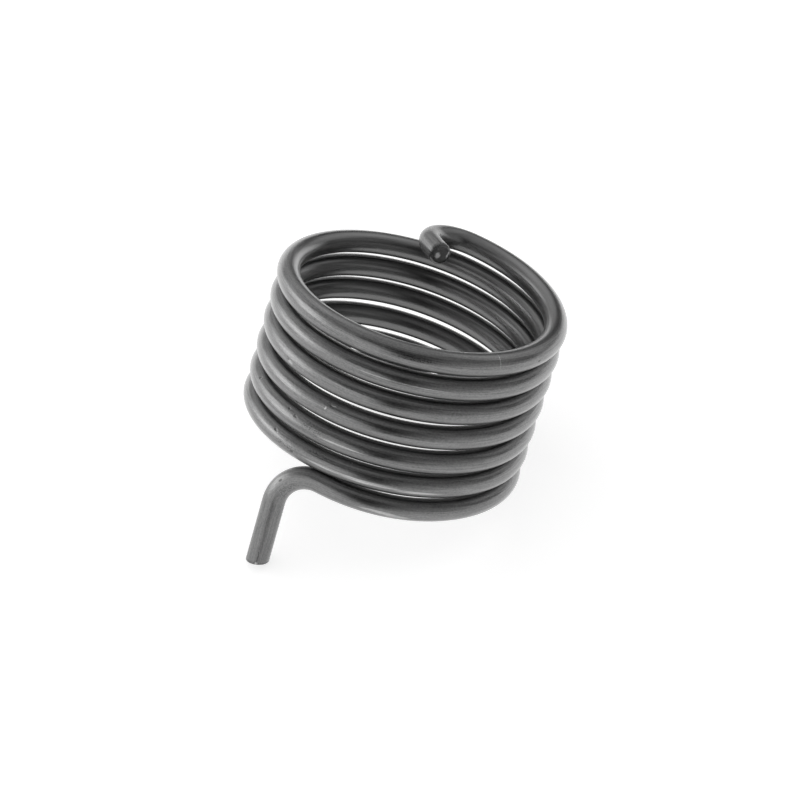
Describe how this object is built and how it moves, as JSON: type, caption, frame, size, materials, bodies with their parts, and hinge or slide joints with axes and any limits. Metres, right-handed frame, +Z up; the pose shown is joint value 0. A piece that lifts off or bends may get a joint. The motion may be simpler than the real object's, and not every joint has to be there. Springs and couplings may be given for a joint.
{
  "type": "torsion spring",
  "caption": "Helical torsion spring of round steel wire, with a leg bent down beside the coil and a short tang hooked in over its bore.",
  "frame": {"origin": "on the bench under the middle of the spring's box, as it rests on the end of its leg and its lowest turn", "axes": "+Z up from the bench; the coil's axis leans 20 degrees from +Z, towards +X and +Y; the leg stands on the -X -Y side"},
  "size_m": [0.041, 0.0456, 0.0338],
  "materials": {
    "spring_steel": "drawn spring wire, dark, satin, with fine draw lines"
  },
  "bodies": {
    "root": {"torsion_spring": "spring_steel"}
  },
  "joints": []
}
